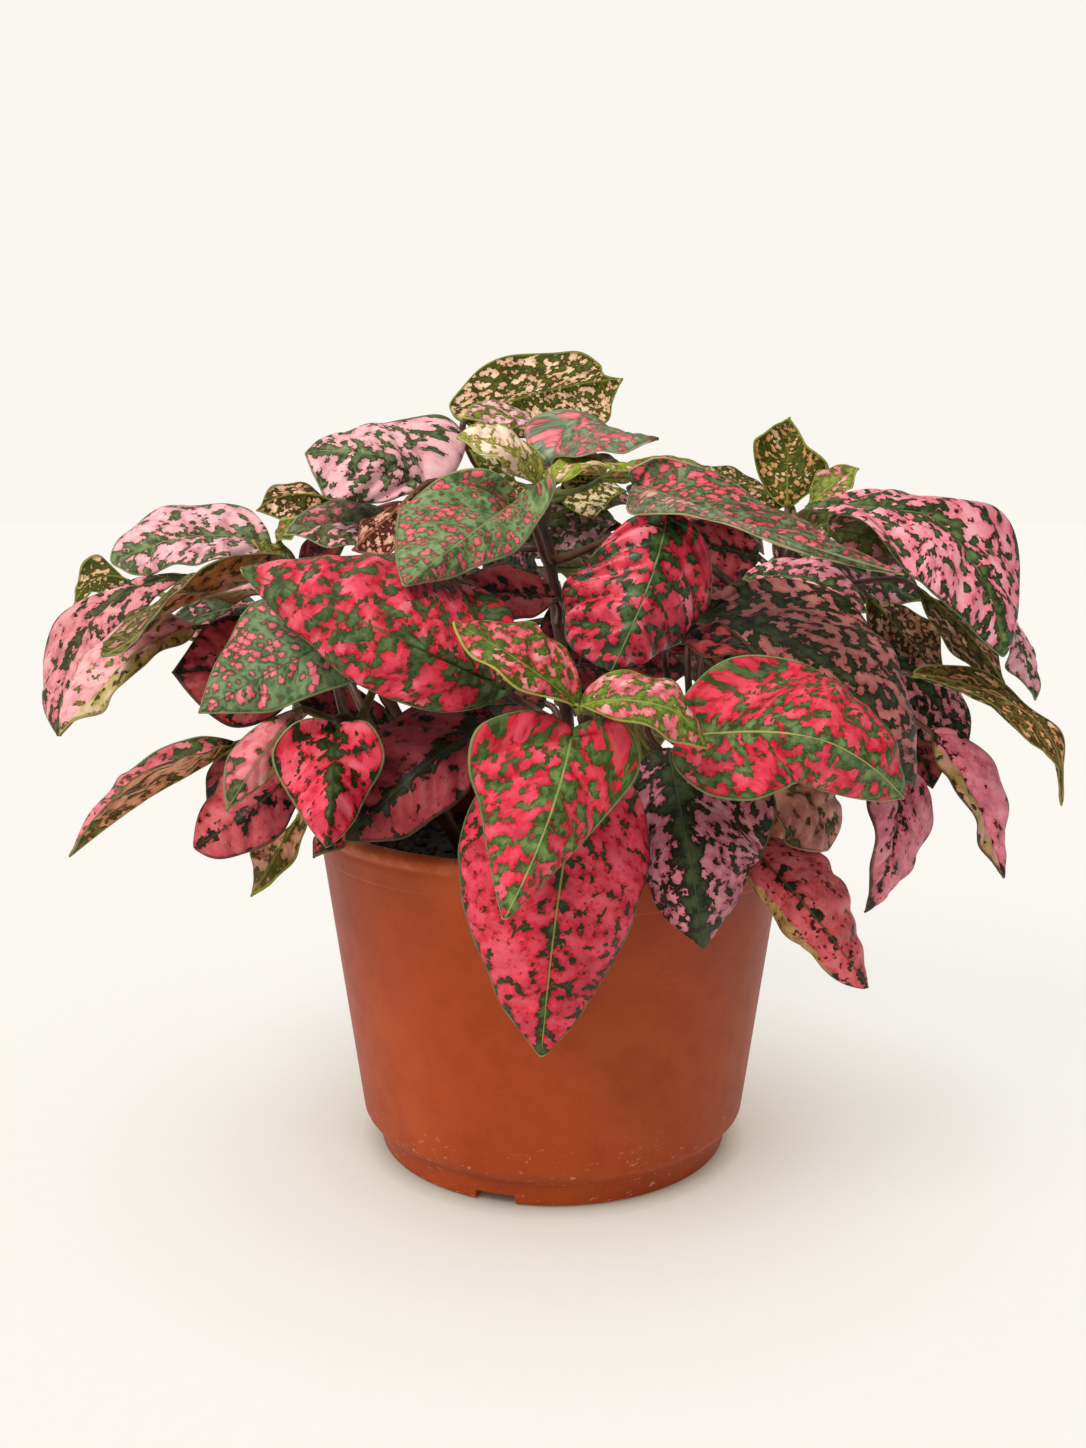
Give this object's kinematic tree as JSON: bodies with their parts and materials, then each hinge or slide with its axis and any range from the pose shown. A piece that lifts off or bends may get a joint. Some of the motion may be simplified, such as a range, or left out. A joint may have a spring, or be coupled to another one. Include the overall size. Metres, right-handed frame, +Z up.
{
  "type": "potted polka dot plant",
  "caption": "Bushy polka dot plant with pink, red and green spotted leaves on thin stems, in a round terracotta-coloured nursery pot of soil.",
  "frame": {"origin": "centre of the pot's foot, on the surface that the pot stands on", "axes": "+X to the right, along the widest spread of the leaves; -Y to the front; +Z up"},
  "size_m": [0.2727, 0.1978, 0.206],
  "materials": {
    "pot": "satin-matte terracotta-coloured plastic with fine scuffs",
    "soil": null,
    "stem": "thin dark purple-brown stems, satin",
    "leaf_brown": "dry dull brown leaf",
    "leaf_dusky": "soft satin leaf, dark dusky red with dark green and black specks",
    "leaf_green": "soft satin leaf, grey-green with small red-pink spots",
    "leaf_greenred": "soft satin leaf, green with many red spots",
    "leaf_mauve": "soft satin leaf, mauve-pink with a dark green centre",
    "leaf_olive": "leaf seen from its underside, olive-brown with peach spots",
    "leaf_pale": "soft satin leaf, pale pink blotches on grey-green",
    "leaf_palepink": "soft satin leaf, very pale pink",
    "leaf_pink": "soft satin leaf, bright pink blotches on dark green",
    "leaf_red": "soft satin leaf, red-pink blotches over dark green, green veins",
    "leaf_redgreen": "soft satin leaf, red-pink blotches on green, green midrib"
  },
  "bodies": {
    "root": {"pot": "pot", "soil": "soil", "stem_centre": "stem", "stem_front": "stem", "stem_left": "stem", "stem_right": "stem", "stem_right_back": "stem", "stem_right_low": "stem", "stem_left_back": "stem", "stem_back": "stem", "leaf_front_low": "leaf_red", "leaf_front_heart": "leaf_redgreen", "leaf_centre_hanging": "leaf_red", "leaf_left_large": "leaf_red", "leaf_left_green": "leaf_green", "leaf_centre_heart_green": "leaf_green", "leaf_back_pale_left": "leaf_pale", "leaf_left_grey": "leaf_pale", "leaf_brown_under": "leaf_olive", "leaf_top_back": "leaf_olive", "leaf_top_right_green": "leaf_greenred", "leaf_right_long": "leaf_greenred", "leaf_right_large": "leaf_pink", "leaf_right_upright": "leaf_olive", "leaf_right_big": "leaf_red", "leaf_right_low_mauve": "leaf_mauve", "leaf_right_low_red": "leaf_dusky", "leaf_right_dry": "leaf_brown", "leaf_right_hang_dusky": "leaf_dusky", "leaf_right_hang_pink": "leaf_dusky", "leaf_right_far_narrow": "leaf_olive", "leaf_right_mid_olive": "leaf_olive", "leaf_right_small_tip": "leaf_pink", "leaf_right_shade": "leaf_mauve", "leaf_right_pink_back": "leaf_pink", "leaf_left_low_red": "leaf_dusky", "leaf_left_heart": "leaf_red", "leaf_left_dark": "leaf_dusky", "leaf_left_narrow_pink": "leaf_pink", "leaf_left_far_narrow": "leaf_redgreen", "leaf_left_low_under": "leaf_olive", "leaf_centre_dusky": "leaf_dusky", "leaf_left_pale_back": "leaf_pale", "leaf_left_far_large": "leaf_mauve", "leaf_left_folded_pale": "leaf_palepink", "leaf_left_twisted": "leaf_greenred", "leaf_left_sliver": "leaf_palepink", "leaf_left_shade_red": "leaf_dusky", "leaf_right_back_shade": "leaf_olive", "leaf_right_back_mauve": "leaf_mauve", "leaf_mid_back_pale": "leaf_pale", "leaf_back_high": "leaf_pale", "leaf_back_right_high": "leaf_red", "leaf_back_left_high": "leaf_pink", "leaf_back_right_side": "leaf_mauve", "leaf_back_left_side": "leaf_greenred", "leaf_back_low": "leaf_dusky", "leaf_back_left_mid": "leaf_red", "leaf_back_right_low": "leaf_red", "leaf_back_left_low": "leaf_dusky"}
  },
  "joints": []
}
